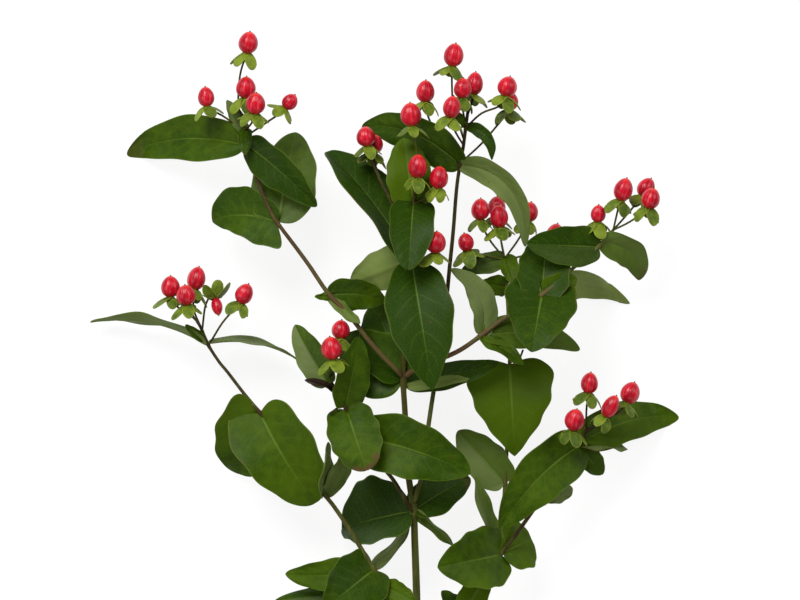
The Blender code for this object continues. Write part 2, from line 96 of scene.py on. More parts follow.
# The dry remains of the styles at a berry's tip
STYLES = 3
STYLE_LENGTH = 0.9
STYLE_RADIUS = 0.45
STYLE_POINT_RADIUS = 0.15
STYLE_LEAN = 0.8
STYLE_SINK = 0.3
STYLE_SIDES = 8

# Stems and stalks: a stem swells at the knots where its leaves sit
STALK_RADIUS = 0.62
STALK_GREENER = 0.3
STEM_STEP = 2.5
STEM_RESOLUTION = 4
SEAT_GAP = 0.3
KNOT_SWELL = 0.35
KNOT_REACH = 2.2

# The grain of the wood runs the length of the spray
GRAIN_STRETCH = (1, 0.08, 1)

# Vertices this near each other, in metres, are one, and edges sharper than this angle stay sharp
WELD_DISTANCE = 0.00001
SMOOTH_ANGLE = math.radians(50)

# Lines drawn on a leaf: half the midrib's width as a share of the blade's, how much it thins out to
# the tip, and the curve, the waver, the shift and half the width of the side veins
MIDRIB_SHARE = 0.05
MIDRIB_THINNING = 0.7
VEIN_CURVE = 1.3
VEIN_WAVER = 0.06
VEIN_SHIFT = 0.35
VEIN_HALF_WIDTH = 0.09

# How fine the patterns of the looks are, in features for each metre
VEIN_BENDS = 55.0
LEAF_PATCHES = 30.0
LEAF_MOTTLE = 210.0
LEAF_NETWORK = 480.0
LEAF_FLECKS = 190.0
LEAF_WEAR = 50.0
LEAF_SCORCH = 110.0
LEAF_PORES = 700.0
LEAF_GRAIN = 260.0
UNDER_PATCHES = 40.0
UNDER_PORES = 900.0
SEPAL_MOTTLE = 260.0
SEPAL_BROWNING = 90.0
BERRY_BLOTCHES = 150.0
STYLE_MOTTLE = 900.0
STYLE_GRAIN = 1500.0
BARK_MOTTLE = 330.0
BARK_SPECKS = 420.0
BARK_GRAIN = 500.0
FLOOR_PATCHES = 3.0

# Sockets of the node that blends colours: its share, its two colours and the colour that it gives
MIX_SHARE = 0
MIX_FIRST = 6
MIX_SECOND = 7
MIX_RESULT = 2

BODY = "root"
SEED = 11

# Colours, linear
LEAF_DARK = (0.013, 0.034, 0.0006)
LEAF_LIGHT = (0.047, 0.087, 0.001)
LEAF_PALE = (0.15, 0.185, 0.065)
LEAF_VEIN = (0.07, 0.12, 0.008)
LEAF_MIDRIB = (0.12, 0.18, 0.025)
LEAF_BROWN = (0.06, 0.035, 0.008)
LEAF_EDGE = (0.1, 0.15, 0.012)
LEAF_DRY = (0.022, 0.014, 0.008)
LEAF_SCAR = (0.075, 0.04, 0.016)
UNDER_DARK = (0.08, 0.115, 0.02)
UNDER_LIGHT = (0.14, 0.185, 0.045)
SEPAL_DARK = (0.04, 0.075, 0.003)
SEPAL_LIGHT = (0.15, 0.205, 0.012)
SEPAL_VEIN = (0.17, 0.23, 0.04)
SEPAL_RIM = (0.24, 0.26, 0.03)
BERRY_DEEP = (0.25, 0.001, 0.009)
BERRY_RED = (0.49, 0.003, 0.016)
# Lighter streaks on the berries: partly the skin's own colour, partly a painted highlight
BERRY_STREAK_AND_HIGHLIGHT = (0.78, 0.07, 0.09)
BERRY_FOOT = (0.55, 0.2, 0.1)
# A painted highlight on the berry's tip
BERRY_TIP_HIGHLIGHT = (0.75, 0.055, 0.025)
STYLE_DARK = (0.045, 0.008, 0.004)
STYLE_LIGHT = (0.13, 0.025, 0.012)
BARK_GREEN = (0.075, 0.085, 0.015)
BARK_BROWN = (0.034, 0.023, 0.006)
BARK_BLACK = (0.009, 0.007, 0.003)
BARK_PINK = (0.13, 0.062, 0.036)
BARK_PALE = (0.12, 0.09, 0.035)
FLOOR_SHADE = (0.14, 0.14, 0.14)
FLOOR_WHITE = (0.16, 0.16, 0.16)
FLOOR_GLOW = 0.86

# Wood colour at the foot and the tip of each stem: 0 is green and 1 is dark purple-brown
STEM_TINTS = {
    "main_stem": (0.1, 0.6),
    "top_stem": (0.2, 0.85),
    "centre_twig": (0.7, 0.7),
    "upper_left_stem": (0.4, 0.75),
    "upper_right_stem": (0.45, 0.2),
    "lower_right_stem": (0.3, 0.8),
    "right_back_stem": (0.15, 0.3),
    "lower_left_stem": (0.2, 0.7),
    "left_twig": (0.6, 0.7),
}

# How strongly the foot of some side stems turns pinkish brown
STEM_BLUSH = {
    "upper_left_stem": 0.8,
    "upper_right_stem": 0.9,
}

# How pale the left and right halves of some leaves are, by stem and by place in its list
PALE_LEAVES = {
    "main_stem": {11: (0.5, 0.5), 2: (0.6, 0.2)},
    "top_stem": {1: (0.7, 0.9)},
    "upper_left_stem": {5: (0.6, 0.6), 2: (0.1, 0.25)},
    "upper_right_stem": {0: (0.9, 0.9), 6: (0.5, 0.5), 1: (0.15, 0.15), 7: (0.15, 0), 8: (0.5, 0.3)},
    "lower_right_stem": {5: (0.9, 0.9), 7: (1, 1), 2: (0.7, 0.4)},
    "right_back_stem": {1: (0.8, 0.3), 2: (0.3, 0.3)},
    "lower_left_stem": {0: (0.9, 0.9), 1: (0.9, 0.9), 5: (1, 0.8), 6: (1, 0.6), 11: (1, 1), 9: (0.3, 0)},
    "left_twig": {3: (0.9, 0.1)},
}

# Leaves painted lighter or darker green than chance makes them, as painted light and shade, and the one that
# is dry
LEAF_PAINTED_LIGHT_AND_SHADE = {
    "main_stem": {0: -0.7, 1: -0.4, 3: -0.4, 5: -0.2, 7: -0.8, 8: -0.5, 10: -0.5, 11: 1.4},
    "top_stem": {0: 0.0, 2: -0.1},
    "upper_left_stem": {0: 0.3, 1: 0.0, 2: 0.5, 3: 0.2, 9: 0.2},
    "upper_right_stem": {4: 0.0, 3: -0.2, 6: 1.2, 7: -0.2, 8: 0.9},
    "lower_right_stem": {0: 0.6, 2: 1.6, 3: 0.4, 4: 0.7},
    "right_back_stem": {0: 1.7, 1: 0.8},
    "lower_left_stem": {3: 0.5, 4: 0.9, 5: 1.8, 6: 1.8, 8: 0.0, 9: 0.2},
    "left_twig": {0: 0.3, 1: 0.3, 2: 0.3},
}
DRY_LEAVES = {"left_twig": (4,)}

# How brown the tips of some leaves are
SCARS = {
    "left_twig": {0: 1.0},
    "upper_left_stem": {0: 0.3},
    "upper_right_stem": {8: 0.6},
    "main_stem": {1: 0.4},
}

# The camera looks straight down on this point, with this width in view, all in metres
VIEW_CENTRE = (0.009, 0.048, 0.045)
VIEW_WIDTH = 0.48
CAMERA_HEIGHT = 6.0
FLOOR_SIZE = 8.0

# Pale surroundings, and each light's place and size in metres and its power in watts
WORLD_COLOUR = (1, 1, 1, 1)
WORLD_STRENGTH = 0.25
LIGHTS = {
    "key": ((-0.7, 1.5, 1.7), 1.3, 62),
    "right": ((1.6, 0.9, 1.3), 1.3, 18),
    "left": ((-1.7, -0.2, 1.3), 1.3, 12),
    "front": ((0.4, -1.7, 1.6), 1.5, 10),
}

# A leaf runs from its root to its tip. Roll turns it about that line and cup folds its halves up,
# in degrees. Bend arches it upwards and sweep to its left, as shares of its length. Heart is the
# depth of the lobes at its root, widest is where it is broadest, and blunt rounds its two ends.
# Skew makes the left half broadest nearer the tip, and the right half nearer the root.
Leaf = namedtuple("Leaf", "root tip width roll cup bend sweep heart widest blunt skew",
                  defaults=(0, 10, 0.06, 0, 0.22, 0.36, 0.6, 0))

# A berry runs from its base to its tip, and its stalk passes through the via points.
Berry = namedtuple("Berry", "base tip width via")

# A stem's path runs from its foot to its tip, and its radii are those of the two ends. Twigs are
# short bare stubs.
Stem = namedtuple("Stem", "path radii leaves berries twigs")

# What is known of a leaf's colour, and how its margin waves
Colour = namedtuple("Colour", "tone pale dry scar")
Wave = namedtuple("Wave", "start speed shift")


MAIN = Stem(
    path=[(19.5, -210, 2.7), (19, -160, 17), (19, -132, 24), (18, -100, 31), (17, -77, 36),
          (14, -56, 40), (12, -20, 45), (11, 2, 47), (12.5, 30, 49), (15, 70, 52), (17.5, 106, 54),
          (18, 118, 54)],
    radii=(2.7, 1.1),
    leaves=[
        Leaf((16, -79, 34), (-26, -90, 2), 53, roll=37, cup=24, bend=0.02, widest=0.42, skew=-0.14),
        Leaf((18, -78, 35), (51, -59, 18), 26, roll=-20, cup=15),
        Leaf((18, -79, 35), (41, -100, 28), 9, roll=50, sweep=0.1),
        Leaf((10.5, 0, 45.6), (-6, 46, 22), 40, roll=12, bend=0.03, heart=0.15),
        Leaf((10.5, -1, 45.6), (-27, 25, 28), 40, cup=8, bend=0.03, heart=0.1),
        Leaf((11.5, -2, 45.2), (68, 10, 39), 17, roll=8, bend=0.06, heart=0),
        Leaf((12, -3, 45.2), (58, 3, 41), 13, roll=150, bend=-0.08, heart=0),
        Leaf((16, 71, 52), (28.5, -6, 70), 41, bend=0.1, widest=0.42, blunt=0.85),
        Leaf((17, 107, 54), (14, 66, 76), 28, blunt=0.5),
        Leaf((17, 106, 54), (11, 145, 44), 28),
        Leaf((15, 72, 52), (-35, 137, 30), 36, roll=44, cup=20, widest=0.45, blunt=0.45),
        Leaf((14, 72, 52), (-21, 58, 38), 26, roll=170, bend=-0.05),
    ],
    berries=[
        Berry((16, 152, 62), (15, 166, 64), 12.5, [(18, 117, 54), (19, 137, 59)]),
        Berry((19, 121, 66), (20, 135, 68), 12, [(17.5, 106, 54), (18, 113, 63)]),
        Berry((31.5, 114.5, 62), (33, 128, 64), 11.5, [(17.5, 106, 54), (26, 109, 60)]),
        Berry((30, 76, 62), (31, 89, 65), 12, [(15, 70, 52), (24, 72, 60)]),
    ],
    twigs=[])

STEM_D = Stem(
    path=[(17, -74, 37), (19.5, -67, 40.5), (22, -57, 41), (26, -28, 39), (29, -8, 37), (35, 30, 38),
          (39, 70, 41.5), (41, 90, 43), (43, 115, 43), (45, 129, 43), (47, 140, 43.5), (48.5, 152, 45),
          (50, 163, 46)],
    radii=(1.5, 1.0),
    leaves=[
        Leaf((45, 129, 43), (-14, 152, 16), 25, roll=-15, sweep=-0.13),
        Leaf((45, 129, 43), (84, 80, 52), 17, roll=32, sweep=0.3, heart=0.1),
        Leaf((49, 152, 45), (64, 132, 50), 8, roll=10, sweep=0.24),
        Leaf((48, 152, 45), (40, 163, 54), 5, roll=20),
    ],
    berries=[
        Berry((40, 188, 44), (42.5, 202, 45), 12, [(47, 145, 44), (41, 165, 44)]),
        Berry((24, 166.5, 40), (24.5, 180, 41), 11, [(45, 129, 43), (33, 143, 38), (26, 158, 38)]),
        Berry((46, 169, 50), (47, 181, 52), 11, [(49, 152, 45), (47, 160, 48)]),
        Berry((53, 171, 38), (54.5, 185, 37), 11, [(50, 160, 45), (52, 166, 40)]),
        Berry((39, 157, 64), (41, 170, 67), 11, [(47, 141, 43), (42, 149, 57)]),
        Berry((72, 170, 49), (75, 182, 50), 12, [(49, 152, 45), (58, 160, 48), (68, 164, 49)]),
        Berry((75, 162, 34), (76, 173, 33), 10, [(45, 130, 43), (58, 142, 38), (70, 156, 34)]),
    ],
    twigs=[])

STEM_E = Stem(
    path=[(16, 84, 52.5), (12, 91, 55), (7, 98, 56), (3, 108, 55), (-3, 120, 52), (-9, 134, 50)],
    radii=(0.9, 0.8),
    leaves=[],
    berries=[
        Berry((-11, 140, 50), (-12, 152, 51), 12, [(-9, 133, 50), (-10.5, 137, 50)]),
        Berry((-7, 136, 42), (-5, 147, 40), 10, [(-3, 120, 52), (-6, 130, 45)]),
    ],
    twigs=[])

STEM_A = Stem(
    path=[(10, 2.5, 47.5), (6.5, 6.5, 51.5), (0, 13, 53), (-10, 24, 53), (-20, 37, 52), (-34, 52, 51),
          (-45, 68, 49), (-53, 79, 47), (-65, 95, 45), (-70, 104, 43), (-76, 118, 41), (-84, 141, 38),
          (-84, 152, 38)],
    radii=(1.5, 1.0),
    leaves=[
        Leaf((-84, 141, 38), (-156, 136, -12), 29, roll=12, cup=14, sweep=-0.065, heart=0.05),
        Leaf((-83, 141, 38), (-41, 104, 54), 25, roll=30, bend=0.09, sweep=0.08, heart=0.1),
        Leaf((-64, 95, 43.5), (-54, 149, 18), 41, roll=-16, cup=5, bend=0.03, heart=0.12),
        Leaf((-65, 95, 44), (-104, 96, 22), 35, roll=10, cup=14, sweep=-0.07, heart=0.4, skew=-0.2),
        Leaf((-84, 151, 38), (-84, 135, 48), 9),
        Leaf((-84, 149, 38), (-95, 168, 35), 9),
        Leaf((-33, 51, 50), (0, 47, 40), 20, roll=10, sweep=0.08),
        Leaf((-33, 52, 50), (-15, 34, 58), 9, roll=150),
        Leaf((-31, 50, 50), (-42, 50, 53), 5),
    ],
    berries=[
        Berry((-83, 196, 44), (-81, 209, 46), 12.5, [(-84, 150, 38), (-88, 165, 38), (-87, 183, 42)]),
        Berry((-84, 169, 44), (-83, 182, 46), 12, [(-84, 151, 38), (-84, 160, 41)]),
        Berry((-78, 159.5, 58), (-77, 172, 62), 12, [(-84, 150, 38), (-80, 154, 51)]),
        Berry((-107, 164, 40), (-108, 176, 41), 10, [(-84, 148, 38), (-95, 157, 38), (-104, 162, 39)]),
        Berry((-60, 163, 46), (-54, 171, 48), 9.5, [(-84, 146, 38), (-72, 154, 41), (-63, 160, 44)]),
    ],
    twigs=[])

STEM_R = Stem(
    path=[(12.5, 2.5, 48.5), (16.5, 5.5, 53), (25, 8.5, 55), (32, 12, 55), (45, 18, 54), (58, 27, 53),
          (70, 36, 53), (80, 42, 53), (94, 51, 52), (105, 60, 50), (115, 69, 47), (128, 80, 44),
          (137, 90, 42)],
    radii=(1.6, 1.0),
    leaves=[
        Leaf((58, 27, 53), (39.5, 66.5, 50), 17, roll=20, sweep=-0.2, heart=0.1),
        Leaf((59, 27, 53), (117, 18, 36), 22, roll=-25, cup=15, sweep=0.06),
        Leaf((58, 26, 53), (83, 9, 60), 12, roll=-40),
        Leaf((94, 51, 52), (97, 86, 36), 32, blunt=0.5),
        Leaf((94, 51, 52), (87.5, 17, 76), 44, widest=0.24, heart=0.35),
        Leaf((96, 53, 51), (115, 61, 44), 17, roll=10),
        Leaf((94, 51, 52), (148, 46, -12), 18, roll=160, bend=-0.04, sweep=-0.1),
        Leaf((128, 80, 44), (85, 82, 58), 25, roll=-6, cup=5),
        Leaf((130, 83, 44), (153, 60, 22), 19, roll=10, sweep=0.2),
    ],
    berries=[
        Berry((127.7, 94.5, 44), (128.2, 105, 46), 9, [(134, 86, 43), (130.5, 90, 43)]),
        Berry((141, 107.5, 48), (145, 121, 50), 12, [(137, 90, 42), (139, 99, 45)]),
        Berry((154, 110, 34), (160, 121, 33), 11, [(137, 90, 42), (146, 100, 37)]),
        Berry((158, 103, 48), (161, 115, 51), 12, [(137, 90, 42), (147, 95, 44)]),
    ],
    twigs=[])

STEM_R2 = Stem(
    path=[(19, -160, 17), (34, -145, 22), (49, -132, 27), (57, -123, 29), (70, -104, 32),
          (78, -94, 32), (88, -80, 32), (96, -69, 32), (108, -55, 31), (118, -38, 30),
          (121, -28, 31)],
    radii=(1.6, 1.0),
    leaves=[
        Leaf((70, -105, 32), (31.5, -112, 62), 38, bend=0.08, heart=0.3),
        Leaf((71, -104, 32), (88, -96, 16), 32, widest=0.5),
        Leaf((69, -103, 32), (54, -58, 31), 14, roll=50, sweep=0.09),
        Leaf((118, -39, 30), (69, -89, 50), 32, roll=-8, sweep=-0.07),
        Leaf((118, -38, 30), (177.5, -23, -10), 26, roll=-15, sweep=0.06),
        Leaf((118, -40, 30), (146, -42, 20), 13, roll=-60),
        Leaf((118, -41, 30), (131, -57, 22), 15),
        Leaf((96, -69, 32), (113, -66, 22), 14),
        Leaf((58, -121, 29), (42, -150, 40), 18),
        Leaf((44, -137, 25), (34, -127, 34), 11),
    ],
    berries=[
        Berry((122, -8, 44), (123.5, 4.5, 46), 11, [(121, -28, 31), (121, -18, 38)]),
        Berry((112.5, -30, 50), (115, -17.5, 54), 12, [(118, -38, 30), (113, -36, 42)]),
        Berry((131.8, -22, 44), (138.8, -9.5, 47), 10, [(120, -32, 31), (126, -28, 38)]),
        Berry((145, -14, 34), (150, -1.5, 33), 11.5, [(121, -30, 31), (132, -24, 31), (141, -19, 34)]),
    ],
    twigs=[])

STEM_G = Stem(
    path=[(70, -104, 31), (70.5, -97, 24), (71.5, -75, 22), (73, -50, 22), (75, 8, 24), (74, 40, 25),
          (73, 56, 26), (72, 73, 28)],
    radii=(1.3, 0.9),
    leaves=[
        Leaf((75, 9, 25), (78, -46, 26), 52, bend=0.08, widest=0.25, heart=0.16, blunt=0.85),
        Leaf((72, -62, 22), (44, -31, 10), 26),
        Leaf((72, 73, 28), (46, 66, 34), 13),
        Leaf((73, 56, 26), (57, 58, 34), 13),
        Leaf((73, 74, 28), (78, 57, 36), 12),
    ],
    berries=[
        Berry((57, 96, 34), (57.5, 109, 35), 12, [(72, 73, 28), (63, 84, 33)]),
        Berry((67, 98, 20), (67.5, 110.5, 19), 11, [(72, 73, 28), (69, 88, 21)]),
        Berry((69, 91.5, 34), (68, 105, 36), 11, [(72, 73, 28), (70, 82, 32)]),
        Berry((49.5, 77.5, 37), (47.5, 88, 40), 10, [(72, 72, 28), (60, 75, 34)]),
        Berry((86, 95, 26), (88, 107, 25), 11, [(72, 73, 28), (80, 84, 26)]),
        Berry((101, 82, 20), (104, 94, 19), 11, [(72, 72, 28), (88, 76, 22)]),
        Berry((79, 30, 32), (80, 42, 33), 11, [(75, 8, 24), (78, 18, 29)]),
    ],
    twigs=[[(75, 8, 24), (80, 11, 28), (83, 18, 31)]])

STEM_BL = Stem(
    path=[(19, -160, 17), (6, -135, 27), (2, -128, 30), (-8, -112, 34), (-20, -92, 36),
          (-30, -77, 37), (-37, -68, 38), (-57, -42, 36), (-75, -20, 34), (-85, -8, 32),
          (-95, 5, 30), (-100, 11, 29), (-107, 22, 28), (-110, 30, 28)],
    radii=(1.6, 0.9),
    leaves=[
        Leaf((-107, 21, 28), (-178, 34.5, 8), 24, roll=102, bend=0.09, heart=0),
        Leaf((-106, 22, 28), (-50, 10, 12), 18, roll=-80, bend=0.1, heart=0),
        Leaf((-109, 24, 28), (-120, 33, 34), 6),
        Leaf((-75, -20, 34), (-42, -74, 36), 49, roll=16, cup=14, bend=0.1, widest=0.34, blunt=0.46,
             skew=0.1),
        Leaf((-76, -19, 32), (-88, -57, 6), 44, heart=0.42, blunt=0.5),
        Leaf((-37, -68, 38), (-34, -37, 56), 14, roll=60, sweep=0.1),
        Leaf((-37, -68, 38), (-26, -42, 54), 16, roll=40, sweep=-0.1),
        Leaf((-8, -112.5, 34), (-60, -117, 18), 20, sweep=0.05),
        Leaf((-7, -114, 34), (-36, -137, 50), 36, heart=0.3),
        Leaf((4, -132, 28), (-67, -134, 6), 18, roll=40),
        Leaf((0, -124, 31), (19, -134, 40), 14),
        Leaf((-8, -112, 34), (15, -86, 22), 12, roll=55),
    ],
    berries=[
        Berry((-129, 49.5, 32), (-129, 62.5, 33), 11.5, [(-107, 22, 28), (-114, 36, 30), (-125, 44, 32)]),
        Berry((-119, 45, 44), (-120, 57, 47), 11.5, [(-109, 28, 28), (-115, 38, 38)]),
        Berry((-115, 54, 28), (-112, 68, 27), 11.5, [(-110, 30, 28), (-115, 42, 28)]),
        Berry((-87, 46, 34), (-82, 57.5, 36), 11, [(-106, 21, 28), (-98, 34, 31), (-91, 42, 33)]),
        Berry((-102, 49, 30), (-100, 39, 34), 7, [(-110, 30, 28), (-108, 45, 27), (-104, 51, 28)]),
    ],
    twigs=[])

STEM_C = Stem(
    path=[(16.5, -79, 37), (11.5, -71, 42), (5, -60, 43), (-7, -45, 45), (-23, -18, 50), (-28, -9, 51),
          (-34, 2, 52)],
    radii=(1.3, 0.9),
    leaves=[
        Leaf((-23, -18, 50), (-11, -54, 64), 32, heart=0.3, widest=0.45, blunt=0.42),
        Leaf((-13, -35, 47), (51, -56, 58), 37, bend=0.08, sweep=0.04, heart=0.3),
        Leaf((-24, -16, 50), (-16, 26, 56), 22, roll=20),
        Leaf((-34, -2, 52), (-54, 33, 42), 20, roll=-15),
        Leaf((-30, -6, 51.3), (-48, 0, 53), 6, roll=35, cup=30),
    ],
    berries=[
        Berry((-31, 12.5, 66), (-33, 26, 69), 13, [(-33, 1, 52), (-32, 7, 61)]),
        Berry((-27, 24.5, 50), (-26, 36, 50), 11, [(-33, 1, 52), (-31, 14, 51)]),
    ],
    twigs=[[(-25, -14, 50), (-33, -20, 54)]])

STEMS = {
    "main_stem": MAIN,
    "top_stem": STEM_D,
    "centre_twig": STEM_E,
    "upper_left_stem": STEM_A,
    "upper_right_stem": STEM_R,
    "lower_right_stem": STEM_R2,
    "right_back_stem": STEM_G,
    "lower_left_stem": STEM_BL,
    "left_twig": STEM_C,
}


def deselect_all():
    """Leaves nothing selected, and no mesh open in edit mode."""
    if bpy.context.object and bpy.context.object.mode != "OBJECT":
        bpy.ops.object.mode_set(mode="OBJECT")
    bpy.ops.object.select_all(action="DESELECT")


def select_only(*things):
    """Selects the given objects and makes the first one active."""
    deselect_all()
    for thing in things:
        thing.select_set(True)
    bpy.context.view_layer.objects.active = things[0]


def merge_doubles(thing):
    """Welds vertices that lie on each other."""
    select_only(thing)
    bpy.ops.object.mode_set(mode="EDIT")
    bpy.ops.mesh.select_all(action="SELECT")
    bpy.ops.mesh.remove_doubles(threshold=WELD_DISTANCE)
    bpy.ops.object.mode_set(mode="OBJECT")


def join(name, things):
    """Joins objects into one piece with this name."""
    select_only(*things)
    if len(things) > 1:
        bpy.ops.object.join()
    things[0].name = name
    things[0].data.name = name
    return things[0]


def set_attribute(mesh, name, values):
    """Stores one number for each vertex, for a material to read."""
    layer = mesh.attributes.new(name, "FLOAT", "POINT")
    for item, value in zip(layer.data, values):
        item.value = value


def set_uv(mesh, spots):
    """Stores each vertex's place across and along a blade, for a material to read."""
    layer = mesh.uv_layers.active.data
    for loop in mesh.loops:
        layer[loop.index].uv = spots[loop.vertex_index]


def smooth_route(points):
    """Points along a smooth curve through the given ones, about one step apart."""
    points = [Vector(p) for p in points]
    ends = [2 * points[0] - points[1]] + points + [2 * points[-1] - points[-2]]
    route = []
    for a, b, c, d in zip(ends, ends[1:], ends[2:], ends[3:]):
        count = max(1, round((c - b).length / STEM_STEP))
        for k in range(count):
            t = k / count
            route.append(0.5 * (2 * b + (c - a) * t + (2 * a - 5 * b + 4 * c - d) * t ** 2
                                + (3 * b - 3 * c + d - a) * t ** 3))
    return route + [points[-1]]


def wood_tube(name, points, radii, knots, tint):
    """A round tapering stem along points, thicker at its knots, with its colour as an attribute."""
    route = smooth_route(points)
    curve = bpy.data.curves.new(name, "CURVE")
    curve.dimensions = "3D"
    curve.bevel_depth = MM
    curve.bevel_resolution = STEM_RESOLUTION
    curve.use_fill_caps = True
    spline = curve.splines.new("POLY")
    spline.points.add(len(route) - 1)
    spline.use_smooth = True
    for i, (point, place) in enumerate(zip(spline.points, route)):
        share = i / (len(route) - 1)
        nearest = min([(place - Vector(knot)).length for knot in knots], default=math.inf)
        swell = 1 + KNOT_SWELL * math.exp(-(nearest / KNOT_REACH) ** 2)
        point.co = (*(place * MM), 1)
        point.radius = (radii[0] + (radii[1] - radii[0]) * share) * swell
    stem = bpy.data.objects.new(name, curve)
    bpy.context.scene.collection.objects.link(stem)
    select_only(stem)
    bpy.ops.object.convert(target="MESH")
    merge_doubles(stem)
    tree = KDTree(len(route))
    for i, place in enumerate(route):
        tree.insert(place * MM, i)
    tree.balance()
    tints = []
    blushes = []
    for vertex in stem.data.vertices:
        share = tree.find(vertex.co)[1] / (len(route) - 1)
        tints.append(tint[0] + (tint[1] - tint[0]) * share)
        blushes.append(STEM_BLUSH.get(name, 0.0) * (1 - share))
    set_attribute(stem.data, "tint", tints)
    set_attribute(stem.data, "blush", blushes)
    return stem


def half_width(leaf, t, s):
    """Half the blade's width at one place, as a share of the widest."""
    power = math.log(0.5) / math.log(leaf.widest + leaf.skew * s)
    return math.sin(math.pi * t ** power) ** leaf.blunt if 0 < t < 1 else 0


def settled(height, lowest):
    """A height that comes down to the lowest one smoothly, and no lower."""
    over = height - lowest
    if abs(over) < SETTLE:
        over = (over + SETTLE) ** 2 / (4 * SETTLE)
    return lowest + max(0, over)


def leaf_point(leaf, t, s):
    """The blade's middle surface and its normal: t from root to tip, s from -1 to 1 across."""
    root, tip = Vector(leaf.root), Vector(leaf.tip)
    length = (tip - root).length
    ahead = (tip - root).normalized()
    left = Quaternion(ahead, math.radians(leaf.roll)) @ Vector((0, 0, 1)).cross(ahead).normalized()
    up = ahead.cross(left)
    reach = half_width(leaf, t, s) * leaf.width / 2
    along = t - 2 * leaf.heart * abs(s) ** 1.5 * (1 - t) ** 4 * reach / length
    arch = 4 * along * (1 - along) * length
    slope = 4 * (1 - 2 * along)
    forward = (ahead + (up * leaf.bend + left * leaf.sweep) * slope).normalized()
    side = (left - forward * left.dot(forward)).normalized()
    face = forward.cross(side)
    fold = math.radians(leaf.cup)
    place = root + ahead * along * length + (up * leaf.bend + left * leaf.sweep) * arch
    place += (side * s * math.cos(fold) + face * abs(s) * math.sin(fold)) * reach
    normal = (face - side * math.tan(fold) * max(-1, min(1, 2 * s))).normalized()
    lowest = LEAF_THICKNESS / 2
    if place.z < lowest - SETTLE:
        normal = Vector((0, 0, math.copysign(1, normal.z)))
    place.z = settled(place.z, lowest)
    return place, normal


def leaf_relief(leaf, t, s, wave):
    """How far the upper face stands from the smooth blade, in millimetres."""
    reach = half_width(leaf, t, s) * leaf.width / 2
    midrib = -MIDRIB_DEPTH * (1 - t) * math.exp(-(s * reach / MIDRIB_HALF_WIDTH) ** 2)
    phase = (t - VEIN_RISE * abs(s)) * VEIN_PAIRS * 2 * math.pi
    veins = VEIN_DEPTH * math.cos(phase) * math.sin(math.pi * min(1, abs(s)))
    side_wave = wave.speed * t + wave.start + (wave.shift if s > 0 else 0)
    ripple = MARGIN_WAVE * abs(s) ** 2.5 * math.sin(side_wave)
    long_pucker = math.sin(wave.start + PUCKER_LONG[0] * t + PUCKER_LONG[1] * s)
    short_pucker = math.sin(wave.shift + PUCKER_SHORT[1] * s + PUCKER_SHORT[0] * t)
    pucker = PUCKER * long_pucker * short_pucker * abs(s)
    return (midrib + veins + ripple + pucker) * min(1, 4 * reach / leaf.width)


def leaf_blade(leaf, colour, chance, looks):
    """One leaf from a flat grid, bent into its place, with its relief and its two faces."""
    bpy.ops.mesh.primitive_grid_add(x_subdivisions=LEAF_COLUMNS, y_subdivisions=LEAF_ROWS, size=2)
    blade = bpy.context.object
    mesh = blade.data
    wave = Wave(chance.uniform(0, 2 * math.pi), chance.uniform(*WAVE_SPEED), chance.uniform(*WAVE_SHIFT))
    # The tone is chance, or a listed one that paints the leaf lighter or darker as painted light and shade
    tone = chance.random() if colour.tone is None else colour.tone
    spots = []
    pale = []
    for vertex in mesh.vertices:
        s = -vertex.co.x
        t = (1 - math.cos(math.pi * (vertex.co.y + 1) / 2)) / 2
        side_wave = 2 * wave.speed * t + wave.start + (wave.shift if s > 0 else 0)
        wobble = MARGIN_WOBBLE * math.sin(side_wave)
        place, normal = leaf_point(leaf, t, s * (1 + wobble))
        vertex.co = (place + normal * leaf_relief(leaf, t, s, wave)) * MM
        vertex.co.z = max(vertex.co.z, BLADE_THICKNESS * MM)
        spots.append(((1 + s) / 2, t))
        pale.append(colour.pale[0] if s > 0 else colour.pale[1])
    set_uv(mesh, spots)
    set_attribute(mesh, "tone", [tone] * len(mesh.vertices))
    set_attribute(mesh, "dry", [colour.dry] * len(mesh.vertices))
    set_attribute(mesh, "scar", [colour.scar] * len(mesh.vertices))
    set_attribute(mesh, "pale", pale)
    merge_doubles(blade)
    for look in looks:
        mesh.materials.append(look)
    thicken(blade, BLADE_THICKNESS)
    return blade


def thicken(blade, thickness):
    """Gives a thin sheet its wall, with the second material on its lower face."""
    wall = blade.modifiers.new("wall", "SOLIDIFY")
    wall.thickness = thickness * MM
    wall.offset = 0
    wall.material_offset = 1
    wall.material_offset_rim = 0
    select_only(blade)
    bpy.ops.object.modifier_apply(modifier=wall.name)
    bpy.ops.object.shade_smooth_by_angle(angle=SMOOTH_ANGLE)


def axis_frame(direction):
    """The turn that lays +Z along a direction."""
    return Vector((0, 0, 1)).rotation_difference(Vector(direction).normalized())


def sepal_pattern():
    """A flat oval sepal along +X, copied for every berry."""
    bpy.ops.mesh.primitive_grid_add(x_subdivisions=SEPAL_ROWS, y_subdivisions=SEPAL_COLUMNS, size=2)
    pattern = bpy.context.object
    spots = []
    for vertex in pattern.data.vertices:
        t = (1 - math.cos(math.pi * (vertex.co.x + 1) / 2)) / 2
        s = vertex.co.y
        share = SEPAL_FOOT_SHARE + (1 - SEPAL_FOOT_SHARE) * t ** SEPAL_BROADEST
        half = SEPAL_WIDTH / 2 * math.sqrt(math.sin(math.pi * share)) if t < 1 else 0
        spots.append(((1 + s) / 2, t))
        vertex.co = (SEPAL_LENGTH * t, half * s, 0)
    set_uv(pattern.data, spots)
    merge_doubles(pattern)
    return pattern


